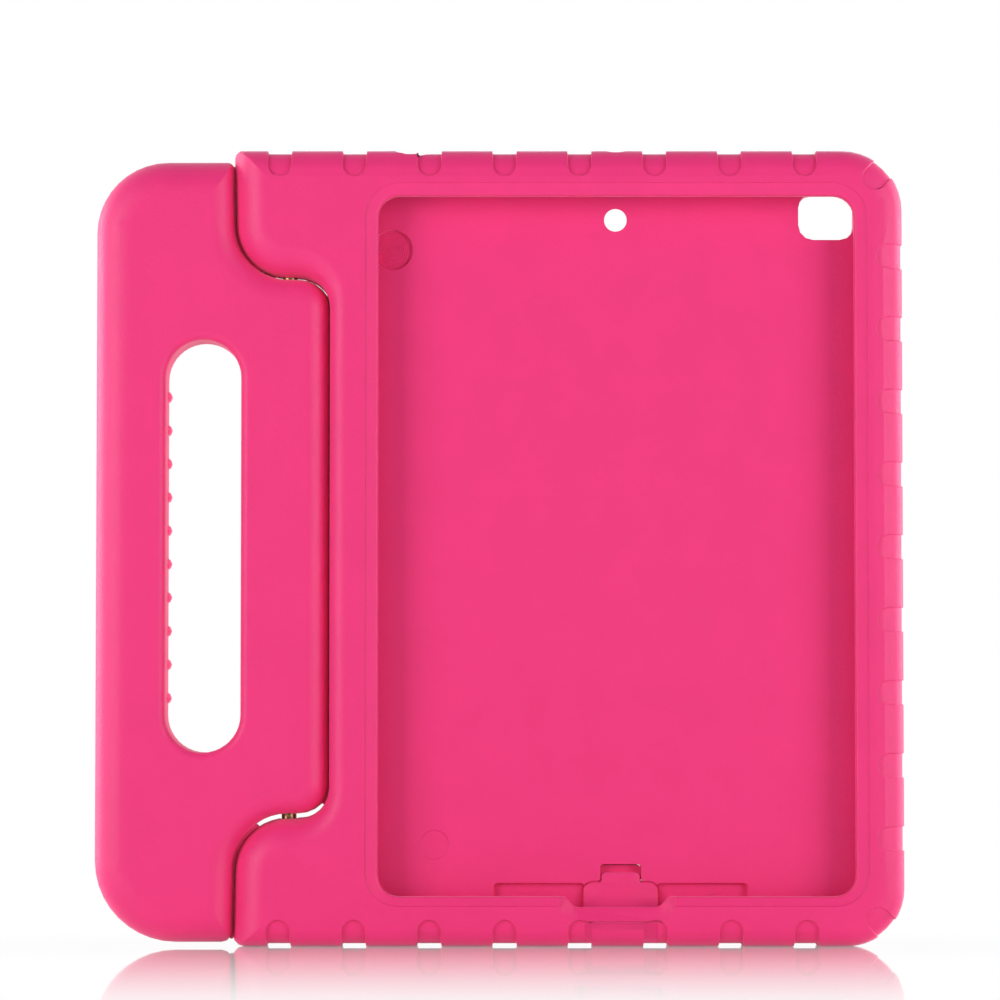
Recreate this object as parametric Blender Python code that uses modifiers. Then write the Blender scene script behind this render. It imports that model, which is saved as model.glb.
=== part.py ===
"""Kids tablet case: a moulded foam tray for a 9.7 inch tablet, a foam carry
handle that turns on two steel pins, and a foam flap over the charging port.

Blender 4.5, metres, +Z up. The case stands on its bottom edge, with the screen
side facing -Y. The origin is on the floor, under the middle of the case.
"""
import math
from collections import namedtuple

import bmesh
import bpy
from mathutils import Matrix, Vector

# Tablet that the tray holds
TABLET_WIDTH = 0.1695
TABLET_HEIGHT = 0.2400
TABLET_THICKNESS = 0.0075
TABLET_CORNER = 0.0090
TABLET_PLAY = 0.00025

# Tray walls
SIDE_WALL = 0.0103
TOP_WALL = 0.0115
BOTTOM_WALL = 0.0125
LIP_THICKNESS = 0.0045
BACK_THICKNESS = 0.0125
UPPER_CORNER_RADIUS = 0.0200
LOWER_CORNER_RADIUS = 0.0190

# Rounding of the tray's edges: across the face, then down the side
SIDE_ROUND_ACROSS = 0.0105
TOP_ROUND_ACROSS = 0.0090
BOTTOM_ROUND_ACROSS = 0.0075
RIM_ROUND_DEEP = 0.0065
HANDLE_SIDE_ROUND = 0.0055
HANDLE_SIDE_BACK_ROUND = 0.0100
EAR_ROUND_ACROSS = 0.0105
EAR_BACK_ROUND_ACROSS = 0.0130
EAR_ROUND_DEEP = 0.0123

# Screen window in the lip, and the sloped band round it
LIP_OVERLAP_SIDE = 0.0060
LIP_OVERLAP_END = 0.0041
WINDOW_CORNER = 0.0070
BAND_WIDTH = 0.0043
BAND_WIDTH_BOTTOM = 0.0032
BAND_DROP = 0.0010
CREASE_DEPTH = 0.0004
LIP_EDGE_ROUND = 0.0009

# Dip in the bottom lip, at the home button
DIP_WIDTH_TOP = 0.0430
DIP_WIDTH_FOOT = 0.0327
DIP_WIDTH_INNER = 0.0275
DIP_FOOT_HEIGHT = 0.0088
DIP_EDGE_HEIGHT = 0.0130
DIP_DEPTH = 0.0033
DIP_CORNER = 0.0030

# Grip notches round the rim
NOTCH_WIDTH = 0.0080
NOTCH_REACH = 0.0090
END_NOTCH_DEPTH = 0.0010
SIDE_NOTCH_DEPTH = 0.0005
END_NOTCH_PITCH = 0.02495
END_NOTCHES = 8
END_NOTCH_INSET = 0.0326
SIDE_NOTCH_PITCH = 0.02415
SIDE_NOTCHES = 9

# Ears of the tray, and the hinge axis between ear and knuckle
EAR_HEIGHT = 0.0424
EAR_RADIUS = 0.0178
EAR_LEAN = 0.0008
EAR_TOP_TIP_RADIUS = 0.0020
EAR_FOOT_TIP_RADIUS = 0.0035
EAR_GAP = 0.0003
NOOK_RADIUS = 0.0105
HINGE_TO_TRAY = 0.0135
KNUCKLE_REACH = 0.0140
KNUCKLE_GAP = 0.0004
KNUCKLE_GAP_TOP = 0.0004
KNUCKLE_GAP_BOTTOM = 0.0014
HOLLOW_CORNER = 0.0100
HOLLOW_END_STEP = 0.0001

# Hinge pins
PIN_RADIUS = 0.0025
PIN_DEPTH = 0.0170
PIN_CHAMFER = 0.0005

# Carry handle
HANDLE_THICKNESS = 0.0210
HANDLE_OUTER_WIDTH = 0.0465
HANDLE_TOP_STEP = 0.0033
HANDLE_FOOT_LIFT = 0.0012
HANDLE_UPPER_RADIUS = 0.0240
HANDLE_LOWER_RADIUS = 0.0270
HANDLE_TOP_TIP_RADIUS = 0.0020
HANDLE_FOOT_TIP_RADIUS = 0.0035
HANDLE_ROUND_ACROSS = 0.0120
HANDLE_ROUND_DEEP = 0.0095
HANDLE_GAP_ROUND_ACROSS = 0.0080
HANDLE_GAP_ROUND_DEEP = 0.0065
KNUCKLE_ROUND_ACROSS = 0.0080
KNUCKLE_ROUND_DEEP = 0.0103
KNUCKLE_CORNER = 0.0108

# Grip slot, and the ribs on the back of the grip
GRIP_WIDTH = 0.0237
SLOT_WIDTH = 0.0250
SLOT_LENGTH = 0.1370
SLOT_RISE = 0.0003
SLOT_EDGE_ROUND = 0.0027
RIBS = 10
RIB_PITCH = 0.0112
RIB_RADIUS = 0.0021
RIB_HEIGHT = 0.0013
RIB_WRAP = 0.0070
RIB_TUCK = 0.0030

# Camera window, microphone holes and headphone hole
CAMERA_WIDTH = 0.01875
CAMERA_HEIGHT = 0.0158
CAMERA_INSET_SIDE = 0.0050
CAMERA_INSET_TOP = 0.0018
CAMERA_CORNER = 0.0050
CAMERA_FLARE = 0.0025
MIC_RADIUS = 0.0037
MIC_BACK_RADIUS = 0.0060
MIC_DROP = 0.0110
HEADPHONE_RADIUS = 0.0045
HEADPHONE_MOUTH_RADIUS = 0.0055
HEADPHONE_INSET = 0.0165

# Marks and sound channels in the tray floor
DIAL_RADIUS = 0.0067
DIAL_DEPTH = 0.0010
DIAL_INSET_X = 0.0104
DIAL_INSET_Z = 0.0210
EJECTOR_RADIUS = 0.0048
EJECTOR_DEPTH = 0.0004
EJECTOR_INSET_X = 0.0245
EJECTOR_INSET_Z = 0.0209
CHANNEL_LENGTH = 0.0305
CHANNEL_RISE = 0.0081
CHANNEL_DEPTH = 0.0020
CHANNEL_UNDERCUT = 0.0012
CHANNEL_CORNER = 0.0015

# Port flap: a plug with a tongue, hinged on a crease in the front of the rim
FLAP_OFFSET = 0.0015
FLAP_WIDTH = 0.0246
FLAP_SLIT = 0.0005
FLAP_SHOULDER_HEIGHT = 0.0208
FLAP_SHOULDER_CORNER = 0.0029
TONGUE_WIDTH = 0.0126
TONGUE_HEIGHT = 0.0242
TONGUE_CORNER = 0.0012
TONGUE_ROOT_CORNER = 0.0008
FINGER_GAP = 0.0027
PULL_THICKNESS = 0.0025
FLAP_CREASE_HEIGHT = 0.0083

# Clearance between pieces that touch, and how far a cutter runs past a face
FIT_GAP = 0.0003
OVERRUN = 0.0020
SMALLEST_RADIUS = 0.0004

# Steps of round shapes
EDGE_STEPS = 6
LARGE_ARC_STEPS = 10
MEDIUM_ARC_STEPS = 6
NOTCH_ARC_STEPS = 4
SMALL_ARC_STEPS = 3
LIP_EDGE_STEPS = 2
RIB_BEVEL_STEPS = 2
HOLE_SIDES = 28
PIN_SIDES = 24
HOLLOW_SIDES = 56
SHARP_ANGLE = math.radians(32)
MERGE_DISTANCE = 0.00001

# Surfaces: linear colour, roughness and metallic
FOAM = ((0.87, 0.055, 0.22), 0.62, 0.0)
STEEL = ((0.34, 0.22, 0.11), 0.35, 1.0)

# Depths from front to back
HALF_DEPTH = (LIP_THICKNESS + TABLET_THICKNESS + 2 * TABLET_PLAY + BACK_THICKNESS) / 2
FRONT = -HALF_DEPTH
BACK = HALF_DEPTH
LIP_BACK = FRONT + LIP_THICKNESS
FLOOR = BACK - BACK_THICKNESS
HANDLE_HALF = HANDLE_THICKNESS / 2

# Widths from left to right, with the whole case centred on the origin
CAVITY_WIDTH = TABLET_WIDTH + 2 * TABLET_PLAY
HANDLE_TO_HINGE = HANDLE_OUTER_WIDTH + EAR_GAP + EAR_RADIUS
CASE_WIDTH = HANDLE_TO_HINGE + HINGE_TO_TRAY + 2 * SIDE_WALL + CAVITY_WIDTH
HANDLE_LEFT = -CASE_WIDTH / 2
HANDLE_INNER = HANDLE_LEFT + HANDLE_OUTER_WIDTH
HINGE_X = HANDLE_LEFT + HANDLE_TO_HINGE
EAR_LEFT = HINGE_X - EAR_RADIUS
KNUCKLE_RIGHT = HINGE_X + KNUCKLE_REACH
TRAY_LEFT = HINGE_X + HINGE_TO_TRAY
CAVITY_LEFT = TRAY_LEFT + SIDE_WALL
CAVITY_RIGHT = CAVITY_LEFT + CAVITY_WIDTH
CAVITY_MIDDLE = (CAVITY_LEFT + CAVITY_RIGHT) / 2
CASE_RIGHT = CASE_WIDTH / 2
SLOT_LEFT = HANDLE_LEFT + GRIP_WIDTH
FLAP_MIDDLE = CAVITY_MIDDLE + FLAP_OFFSET

# Heights from the bottom edge up
CAVITY_BOTTOM = BOTTOM_WALL
CAVITY_TOP = CAVITY_BOTTOM + TABLET_HEIGHT + 2 * TABLET_PLAY
CASE_HEIGHT = CAVITY_TOP + TOP_WALL
LOWER_EAR_EDGE = EAR_HEIGHT
UPPER_EAR_EDGE = CASE_HEIGHT - EAR_HEIGHT
KNUCKLE_BOTTOM = LOWER_EAR_EDGE + KNUCKLE_GAP_BOTTOM
KNUCKLE_TOP = UPPER_EAR_EDGE - KNUCKLE_GAP_TOP
HANDLE_TOP = CASE_HEIGHT - HANDLE_TOP_STEP
SLOT_MIDDLE = CASE_HEIGHT / 2 + SLOT_RISE
CUTOUT_TOP = TONGUE_HEIGHT + FINGER_GAP

# Each hinge pin, with the two heights between which it shows
HINGES = (
    ("upper", KNUCKLE_TOP, UPPER_EAR_EDGE),
    ("lower", LOWER_EAR_EDGE, KNUCKLE_BOTTOM),
)

Corner = namedtuple("Corner", "x z radius steps")


def offset_corner(spot, side_in, side_out, inset_in, inset_out):
    """Where two neighbouring sides meet once each has moved inward."""
    return spot + (side_out * inset_in - side_in * inset_out) / side_in.cross(side_out)


def outline(corners, insets=None):
    """Points round a polygon, counter-clockwise, with its corners rounded.

    Each side can be moved inward by its own inset. A radius that its two sides
    can't hold is shortened to fit.
    """
    count = len(corners)
    insets = insets or [0.0] * count
    spots = [Vector((corner.x, corner.z)) for corner in corners]
    sides = [(spots[(i + 1) % count] - spots[i]).normalized() for i in range(count)]
    moved = []
    turns = []
    radii = []
    for i, corner in enumerate(corners):
        side_in, side_out = sides[i - 1], sides[i]
        moved.append(offset_corner(spots[i], side_in, side_out, insets[i - 1], insets[i]))
        turn = math.atan2(side_in.cross(side_out), side_in.dot(side_out))
        inset = math.copysign((insets[i - 1] + insets[i]) / 2, turn)
        inset = inset if insets[i] >= 0 else -abs(inset)
        turns.append(turn)
        radii.append(max(corner.radius - inset, SMALLEST_RADIUS))
    reaches = [radii[i] * math.tan(abs(turns[i]) / 2) for i in range(count)]
    points = []
    for i, corner in enumerate(corners):
        after = (i + 1) % count
        room_in = (moved[i] - moved[i - 1]).length / (reaches[i - 1] + reaches[i])
        room_out = (moved[after] - moved[i]).length / (reaches[i] + reaches[after])
        share = min(1.0, room_in, room_out)
        start = moved[i] - sides[i - 1] * reaches[i] * share
        radius = radii[i] * share
        inward = Vector((-sides[i - 1].y, sides[i - 1].x)) * math.copysign(radius, turns[i])
        for step in range(corner.steps + 1):
            spin = Matrix.Rotation(turns[i] * step / corner.steps, 2)
            points.append(start + inward - spin @ inward)
    return points


def rectangle(left, right, bottom, top, radius, steps):
    """Corners of an upright rectangle with equal radii."""
    return [
        Corner(left, bottom, radius, steps),
        Corner(right, bottom, radius, steps),
        Corner(right, top, radius, steps),
        Corner(left, top, radius, steps),
    ]


def edge_inset(rounding, depth):
    """How far an elliptical edge has drawn in at a depth below the face."""
    across, deep = rounding
    if depth >= deep:
        return 0.0
    return across * (1 - math.sqrt(1 - (1 - depth / deep) ** 2))


def round_depths(deepest, steps=EDGE_STEPS):
    """Depths below a face at which a rounded edge is stepped."""
    quarter = math.pi / 2
    return [deepest * (1 - math.cos(quarter * k / steps)) for k in range(steps + 1)]


def add_object(name, mesh, group):
    """Put a mesh in the scene as an object of one group."""
    made = bpy.data.objects.new(name, mesh)
    bpy.data.collections[group].objects.link(made)
    if group == "cutters":
        made.hide_render = True
        made.display_type = "WIRE"
    return made


def bmesh_object(name, shape, group):
    """Turn a finished bmesh into an object."""
    bmesh.ops.recalc_face_normals(shape, faces=shape.faces)
    mesh = bpy.data.meshes.new(name)
    shape.to_mesh(mesh)
    shape.free()
    return add_object(name, mesh, group)


def loft(name, rings, group="cutters"):
    """Solid through a row of (depth, points) rings with as many points each.

    Where two rings differ, the faces between them are split, to be exactly flat.
    """
    shape = bmesh.new()
    loops = []
    for y, points in rings:
        loops.append([shape.verts.new((point.x, y, point.y)) for point in points])
    sloped = []
    for k in range(len(rings) - 1):
        front, back = loops[k], loops[k + 1]
        for i in range(len(front)):
            side = shape.faces.new((front[i - 1], front[i], back[i], back[i - 1]))
            if rings[k][1] != rings[k + 1][1]:
                sloped.append(side)
    bmesh.ops.triangulate(shape, faces=sloped)
    shape.faces.new(loops[0])
    shape.faces.new(reversed(loops[-1]))
    return bmesh_object(name, shape, group)


def rounded_plate(name, corners, fronts, backs, half_depth, shrink=0.0, group="cutters"):
    """Upright plate whose sides each have their own front and back rounding.

    Shrinking moves its whole surface inward by as much.
    """
    def ring(roundings, depth):
        sizes = [(across - shrink, deep - shrink) for across, deep in roundings]
        return outline(corners, [shrink + edge_inset(size, depth) for size in sizes])

    depths = round_depths(max(deep for across, deep in fronts + backs) - shrink)
    half = half_depth - shrink
    rings = [(depth - half, ring(fronts, depth)) for depth in depths]
    rings += [(half - depth, ring(backs, depth)) for depth in reversed(depths)]
    return loft(name, rings, group)


def flared_hole(name, corners, front, back, flare, both=True):
    """Cutter through a plate, with its back mouth or both mouths rounded out."""
    def ring(depth):
        return outline(corners, [-edge_inset((flare, flare), depth)] * len(corners))

    depths = round_depths(flare)
    if both:
        rings = [(front - OVERRUN, ring(0))] + [(front + depth, ring(depth)) for depth in depths]
    else:
        rings = [(front - OVERRUN, ring(flare))]
    rings += [(back - depth, ring(depth)) for depth in reversed(depths)]
    rings.append((back + OVERRUN, ring(0)))
    return loft(name, rings)


def curve_mesh(name, curve, group, turn=Matrix.Identity(4)):
    """Turn a curve into a closed mesh object."""
    source = bpy.data.objects.new(name, curve)
    mesh = bpy.data.meshes.new_from_object(source)
    bpy.data.objects.remove(source)
    bpy.data.curves.remove(curve)
    shape = bmesh.new()
    shape.from_mesh(mesh)
    bmesh.ops.remove_doubles(shape, verts=shape.verts, dist=MERGE_DISTANCE)
    shape.to_mesh(mesh)
    shape.free()
    made = add_object(name, mesh, group)
    made.matrix_world = turn
    return made


def flat_curve(name, outlines, thickness):
    """Closed outlines as one filled and extruded curve."""
    curve = bpy.data.curves.new(name, "CURVE")
    curve.dimensions = "2D"
    curve.fill_mode = "BOTH"
    curve.extrude = thickness / 2
    for points in outlines:
        spline = curve.splines.new("POLY")
        spline.points.add(len(points) - 1)
        spline.use_cyclic_u = True
        for spot, (across, up) in zip(spline.points, points):
            spot.co = (across, up, 0, 1)
    return curve


def prism(name, outlines, start, end, group="cutters"):
    """Flat outlines in the XZ plane, extruded along Y from start to end."""
    curve = flat_curve(name, outlines, end - start)
    upright = Matrix.Translation((0, (start + end) / 2, 0)) @ Matrix.Rotation(math.pi / 2, 4, "X")
    return curve_mesh(name, curve, group, upright)


def turned(name, profile, sides, x, group="cutters"):
    """Solid of (radius, height) rings round an upright axis in the mid plane."""
    shape = bmesh.new()
    loops = []
    for radius, z in profile:
        spins = [2 * math.pi * k / sides for k in range(sides)]
        ring = [(x + radius * math.cos(spin), radius * math.sin(spin), z) for spin in spins]
        loops.append([shape.verts.new(spot) for spot in ring])
    for low, high in zip(loops, loops[1:]):
        for i in range(sides):
            shape.faces.new((low[i - 1], low[i], high[i], high[i - 1]))
    bmesh.ops.triangulate(shape, faces=shape.faces)
    shape.faces.new(reversed(loops[0]))
    shape.faces.new(loops[-1])
    return bmesh_object(name, shape, group)


def side_prism(name, points, left, right):
    """Outline in the YZ plane, extruded along X."""
    curve = flat_curve(name, [points], right - left)
    sideways = Matrix.Rotation(math.pi / 2, 4, "Z") @ Matrix.Rotation(math.pi / 2, 4, "X")
    middle = Matrix.Translation(((left + right) / 2, 0, 0))
    return curve_mesh(name, curve, "cutters", middle @ sideways)


def round_bar(name, radius_start, radius_end, start, end, sides, group="cutters"):
    """Cylinder or cone between two points on one axis."""
    along = Vector(end) - Vector(start)
    shape = bmesh.new()
    bmesh.ops.create_cone(
        shape, cap_ends=True, segments=sides,
        radius1=radius_start, radius2=radius_end, depth=along.length,
    )
    turn = Vector((0, 0, 1)).rotation_difference(along).to_matrix().to_4x4()
    middle = Matrix.Translation((Vector(start) + Vector(end)) / 2)
    bmesh.ops.transform(shape, matrix=middle @ turn, verts=shape.verts)
    return bmesh_object(name, shape, group)


def combine(target, tool, operation):
    """Cut, join or intersect one object with another, as a modifier."""
    step = target.modifiers.new(tool.name, "BOOLEAN")
    step.operation = operation
    step.solver = "EXACT"
    step.object = tool


def combine_all(target, tools, operation):
    """Cut or join one object with several others in a single step."""
    group = bpy.data.collections.new(f"{target.name}_{operation.lower()}")
    bpy.data.collections["cutters"].children.link(group)
    for tool in tools:
        group.objects.link(tool)
    step = target.modifiers.new(group.name, "BOOLEAN")
    step.operation = operation
    step.solver = "EXACT"
    step.operand_type = "COLLECTION"
    step.collection = group


def finish(part, material, pivot):
    """Give a part its own material, smooth faces and its origin on a pivot."""
    colour, roughness, metallic = material
    surface = bpy.data.materials.new(part.name)
    surface.use_nodes = True
    shader = surface.node_tree.nodes["Principled BSDF"]
    shader.inputs["Base Color"].default_value = (*colour, 1)
    shader.inputs["Roughness"].default_value = roughness
    shader.inputs["Metallic"].default_value = metallic
    part.data.materials.append(surface)
    part.data.transform(Matrix.Translation(pivot).inverted() @ part.matrix_world)
    part.matrix_world = Matrix.Translation(pivot)
    part.data.shade_smooth()
    part.data.set_sharp_from_angle(angle=SHARP_ANGLE)


def tray_corners():
    """Outline of the tray with its two ears."""
    return [
        Corner(EAR_LEFT - EAR_LEAN, 0, EAR_FOOT_TIP_RADIUS, SMALL_ARC_STEPS),
        Corner(CASE_RIGHT, 0, LOWER_CORNER_RADIUS, LARGE_ARC_STEPS),
        Corner(CASE_RIGHT, CASE_HEIGHT, UPPER_CORNER_RADIUS, LARGE_ARC_STEPS),
        Corner(EAR_LEFT - EAR_LEAN, CASE_HEIGHT, EAR_TOP_TIP_RADIUS, SMALL_ARC_STEPS),
        Corner(EAR_LEFT, UPPER_EAR_EDGE, EAR_RADIUS, LARGE_ARC_STEPS),
        Corner(TRAY_LEFT, UPPER_EAR_EDGE, NOOK_RADIUS, MEDIUM_ARC_STEPS),
        Corner(TRAY_LEFT, LOWER_EAR_EDGE, NOOK_RADIUS, MEDIUM_ARC_STEPS),
        Corner(EAR_LEFT, LOWER_EAR_EDGE, EAR_RADIUS, LARGE_ARC_STEPS),
    ]


def tray_plate(name, shrink=0.0, group="cutters"):
    """The tray's outer form, with nothing cut out of it."""
    def roundings(handle_side, ear_across):
        ear_end = (EAR_ROUND_ACROSS, EAR_ROUND_DEEP)
        ear_edge = (ear_across, EAR_ROUND_DEEP)
        bottom = (BOTTOM_ROUND_ACROSS, RIM_ROUND_DEEP)
        side = (SIDE_ROUND_ACROSS, RIM_ROUND_DEEP)
        top = (TOP_ROUND_ACROSS, RIM_ROUND_DEEP)
        hinge_side = (handle_side, handle_side)
        return [bottom, side, top, ear_end, ear_edge, hinge_side, ear_edge, ear_end]

    fronts = roundings(HANDLE_SIDE_ROUND, EAR_ROUND_ACROSS)
    backs = roundings(HANDLE_SIDE_BACK_ROUND, EAR_BACK_ROUND_ACROSS)
    return rounded_plate(name, tray_corners(), fronts, backs, HALF_DEPTH, shrink, group)


def knuckle_hollow():
    """The round hollow in the tray's side in which the knuckle turns."""
    radius = KNUCKLE_REACH + KNUCKLE_GAP
    corner = HOLLOW_CORNER
    low, high = LOWER_EAR_EDGE + HOLLOW_END_STEP, UPPER_EAR_EDGE - HOLLOW_END_STEP
    bends = [math.pi / 2 * k / MEDIUM_ARC_STEPS for k in range(MEDIUM_ARC_STEPS + 1)]
    foot = [
        (radius - corner * (1 - math.sin(bend)), low + corner * (1 - math.cos(bend)))
        for bend in bends
    ]
    head = [(across, low + high - z) for across, z in reversed(foot)]
    return turned("knuckle_hollow", foot + head, HOLLOW_SIDES, HINGE_X)


def cavity_cutter():
    """The space that the tablet fills."""
    corners = rectangle(
        CAVITY_LEFT, CAVITY_RIGHT, CAVITY_BOTTOM, CAVITY_TOP, TABLET_CORNER, MEDIUM_ARC_STEPS
    )
    return prism("tablet_space", [outline(corners)], LIP_BACK, FLOOR)


def window_cutter():
    """The screen window, with a creased and sloped band round it."""
    corners = rectangle(
        CAVITY_LEFT + LIP_OVERLAP_SIDE, CAVITY_RIGHT - LIP_OVERLAP_SIDE,
        CAVITY_BOTTOM + LIP_OVERLAP_END, CAVITY_TOP - LIP_OVERLAP_END,
        WINDOW_CORNER, MEDIUM_ARC_STEPS,
    )

    def edge_ring(outset):
        return outline(corners, [-outset] * len(corners))

    band = outline(corners, [-BAND_WIDTH_BOTTOM, -BAND_WIDTH, -BAND_WIDTH, -BAND_WIDTH])
    slope_end = FRONT + BAND_DROP
    rings = [(FRONT - OVERRUN, band), (FRONT + CREASE_DEPTH, band)]
    rounding = (LIP_EDGE_ROUND, LIP_EDGE_ROUND)
    for depth in round_depths(LIP_EDGE_ROUND, LIP_EDGE_STEPS):
        rings.append((slope_end + depth, edge_ring(edge_inset(rounding, depth))))
    rings.append((LIP_BACK + OVERRUN, edge_ring(0)))
    return loft("screen_window", rings)


def dip_cutter():
    """The scoop in the bottom lip that clears the home button."""
    top = CAVITY_BOTTOM + LIP_OVERLAP_END + OVERRUN
    slope = (DIP_EDGE_HEIGHT - DIP_FOOT_HEIGHT) / DIP_DEPTH

    def section(half_top, half_foot, foot):
        corners = [
            Corner(CAVITY_MIDDLE - half_foot, foot, DIP_CORNER, SMALL_ARC_STEPS),
            Corner(CAVITY_MIDDLE + half_foot, foot, DIP_CORNER, SMALL_ARC_STEPS),
            Corner(CAVITY_MIDDLE + half_top, top, SMALLEST_RADIUS, 1),
            Corner(CAVITY_MIDDLE - half_top, top, SMALLEST_RADIUS, 1),
        ]
        return outline(corners)

    outer_spread = (DIP_WIDTH_TOP - DIP_WIDTH_FOOT) / 2
    inner_foot = DIP_WIDTH_INNER / 2
    inner = section(inner_foot + outer_spread, inner_foot, DIP_EDGE_HEIGHT)
    spread_per_depth = (DIP_WIDTH_FOOT - DIP_WIDTH_INNER) / 2 / DIP_DEPTH
    outer_foot = DIP_WIDTH_FOOT / 2 + OVERRUN * spread_per_depth
    outer = section(outer_foot + outer_spread, outer_foot, DIP_FOOT_HEIGHT - OVERRUN * slope)
    rings = [(FRONT - OVERRUN, outer), (FRONT + DIP_DEPTH, inner), (LIP_BACK + OVERRUN, inner)]
    return loft("home_button_dip", rings)


def notch_outline(edge_x, edge_z, outward):
    """One grip notch, running in from the rim against an outward direction."""
    half = NOTCH_WIDTH / 2
    corners = [
        Corner(-half, -NOTCH_REACH, half, NOTCH_ARC_STEPS),
        Corner(half, -NOTCH_REACH, half, NOTCH_ARC_STEPS),
        Corner(half, OVERRUN, SMALLEST_RADIUS, 1),
        Corner(-half, OVERRUN, SMALLEST_RADIUS, 1),
    ]
    spin = Matrix.Rotation(outward - math.pi / 2, 2)
    return [Vector((edge_x, edge_z)) + spin @ point for point in outline(corners)]


def end_notches():
    """The grip notches along the top and the bottom."""
    last_x = CASE_RIGHT - END_NOTCH_INSET
    found = []
    for i in range(END_NOTCHES):
        x = last_x - i * END_NOTCH_PITCH
        found.append(notch_outline(x, CASE_HEIGHT, math.pi / 2))
        found.append(notch_outline(x, 0, -math.pi / 2))
    return found


def side_notches():
    """The grip notches up the right side and at its two corners."""
    found = []
    for i in range(SIDE_NOTCHES):
        z = CASE_HEIGHT / 2 + (i - (SIDE_NOTCHES - 1) / 2) * SIDE_NOTCH_PITCH
        found.append(notch_outline(CASE_RIGHT, z, 0))
    for radius, centre_z, outward in (
        (UPPER_CORNER_RADIUS, CASE_HEIGHT - UPPER_CORNER_RADIUS, math.pi / 4),
        (LOWER_CORNER_RADIUS, LOWER_CORNER_RADIUS, -math.pi / 4),
    ):
        centre_x = CASE_RIGHT - radius
        edge_x = centre_x + radius * math.cos(outward)
        edge_z = centre_z + radius * math.sin(outward)
        found.append(notch_outline(edge_x, edge_z, outward))
    return found


def notch_cutter(name, outlines, depth):
    """Notches as a skin over the tray, as deep all the way round."""
    bars = prism(name, outlines, FRONT - OVERRUN, BACK + OVERRUN)
    combine(bars, tray_plate(f"{name}_core", depth), "DIFFERENCE")
    return bars


def floor_cutters():
    """The holes, marks and sound channels of the tray floor and top wall."""
    camera_right = CAVITY_RIGHT - CAMERA_INSET_SIDE
    camera_top = CAVITY_TOP - CAMERA_INSET_TOP
    camera = flared_hole(
        "camera_window",
        rectangle(
            camera_right - CAMERA_WIDTH, camera_right,
            camera_top - CAMERA_HEIGHT, camera_top, CAMERA_CORNER, SMALL_ARC_STEPS,
        ),
        FLOOR, BACK, CAMERA_FLARE, both=False,
    )
    mic_z = CAVITY_TOP - MIC_DROP
    mic = round_bar(
        "microphone_hole", MIC_RADIUS, MIC_BACK_RADIUS,
        (CAVITY_MIDDLE, FLOOR - FIT_GAP, mic_z), (CAVITY_MIDDLE, BACK + FIT_GAP, mic_z), HOLE_SIDES,
    )
    tablet_y = (LIP_BACK + FLOOR) / 2
    wall_low, wall_high = CAVITY_TOP - FIT_GAP, CASE_HEIGHT + FIT_GAP
    top_mic = round_bar(
        "top_microphone_hole", MIC_RADIUS, MIC_RADIUS,
        (CAVITY_MIDDLE, tablet_y, wall_low), (CAVITY_MIDDLE, tablet_y, wall_high), HOLE_SIDES,
    )
    jack_x = CAVITY_LEFT + HEADPHONE_INSET
    jack = round_bar(
        "headphone_hole", HEADPHONE_RADIUS, HEADPHONE_MOUTH_RADIUS,
        (jack_x, tablet_y, wall_low), (jack_x, tablet_y, wall_high), HOLE_SIDES,
    )
    return [camera, mic, top_mic, jack] + mark_cutters() + channel_cutters()


def mark_cutters():
    """The round mould marks in the tray floor."""
    made = []
    for name, radius, depth, x, z in (
        ("dial_mark", DIAL_RADIUS, DIAL_DEPTH,
         CAVITY_LEFT + DIAL_INSET_X, CAVITY_TOP - DIAL_INSET_Z),
        ("ejector_mark", EJECTOR_RADIUS, EJECTOR_DEPTH,
         CAVITY_LEFT + EJECTOR_INSET_X, CAVITY_BOTTOM + EJECTOR_INSET_Z),
    ):
        start, end = (x, FLOOR - OVERRUN, z), (x, FLOOR + depth, z)
        made.append(round_bar(name, radius, radius, start, end, HOLE_SIDES))
    return made


def channel_cutters():
    """The two sound channels along the foot of the tray floor."""
    made = []
    inner = FLAP_WIDTH / 2 + FLAP_SLIT - OVERRUN / 2
    for name, side in (("left_sound_channel", -1), ("right_sound_channel", 1)):
        ends = sorted((FLAP_MIDDLE + side * inner, FLAP_MIDDLE + side * (inner + CHANNEL_LENGTH)))
        corners = rectangle(
            ends[0], ends[1], CAVITY_BOTTOM - CHANNEL_UNDERCUT, CAVITY_BOTTOM + CHANNEL_RISE,
            CHANNEL_CORNER, SMALL_ARC_STEPS,
        )
        made.append(prism(name, [outline(corners)], FLOOR - OVERRUN, FLOOR + CHANNEL_DEPTH))
    return made


def hat_outline(gap, top):
    """Front view of the flap: a wide plug with a narrow tongue on top."""
    wide = FLAP_WIDTH / 2 + gap
    narrow = TONGUE_WIDTH / 2 + gap
    shoulder = FLAP_SHOULDER_HEIGHT + gap
    root = TONGUE_ROOT_CORNER
    corners = [
        Corner(-wide, -OVERRUN, SMALLEST_RADIUS, 1),
        Corner(wide, -OVERRUN, SMALLEST_RADIUS, 1),
        Corner(wide, shoulder, FLAP_SHOULDER_CORNER + gap, MEDIUM_ARC_STEPS),
        Corner(narrow, shoulder, root, SMALL_ARC_STEPS),
        Corner(narrow, top, TONGUE_CORNER, SMALL_ARC_STEPS),
        Corner(-narrow, top, TONGUE_CORNER, SMALL_ARC_STEPS),
        Corner(-narrow, shoulder, root, SMALL_ARC_STEPS),
        Corner(-wide, shoulder, FLAP_SHOULDER_CORNER + gap, MEDIUM_ARC_STEPS),
    ]
    return [point + Vector((FLAP_MIDDLE, 0)) for point in outline(corners)]


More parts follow.
